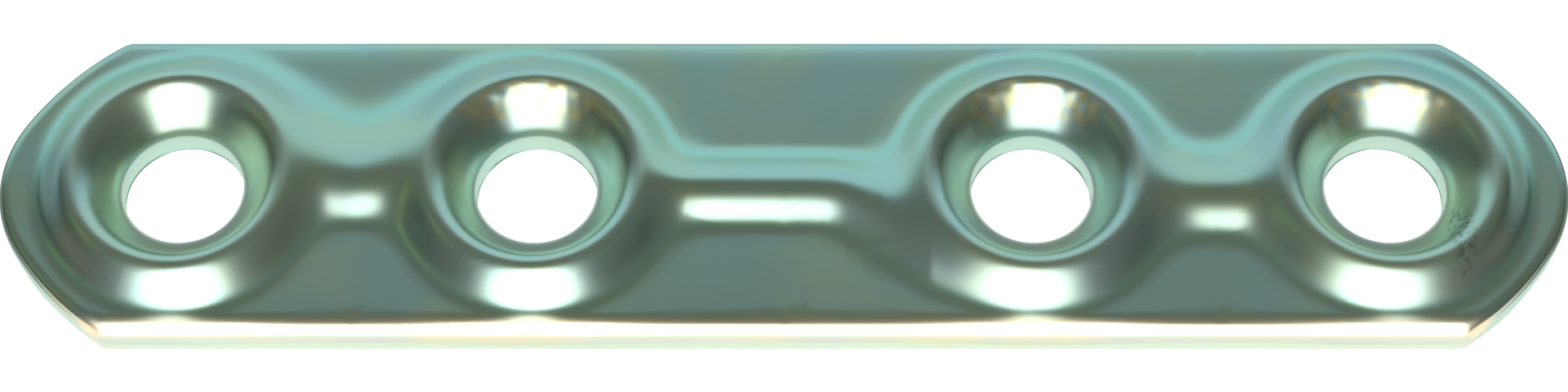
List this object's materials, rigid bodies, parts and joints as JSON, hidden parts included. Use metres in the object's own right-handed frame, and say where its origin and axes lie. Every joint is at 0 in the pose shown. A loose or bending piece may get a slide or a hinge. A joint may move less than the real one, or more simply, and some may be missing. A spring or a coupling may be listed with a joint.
{
  "type": "mending plate",
  "caption": "Flat steel mending plate with blunt round ends, countersunk screw holes in raised rings, and a raised rib along the middle that stiffens it.",
  "frame": {"origin": "centre of the underside, on the plane that lies against the work", "axes": "+X along the plate, +Y across it, +Z out of the face with the raised rings"},
  "size_m": [0.075, 0.016, 0.0036],
  "materials": {
    "zinc_plate": "bright zinc plating with a blue-green passivation, glossy"
  },
  "bodies": {
    "root": {"plate": "zinc_plate"}
  },
  "joints": []
}
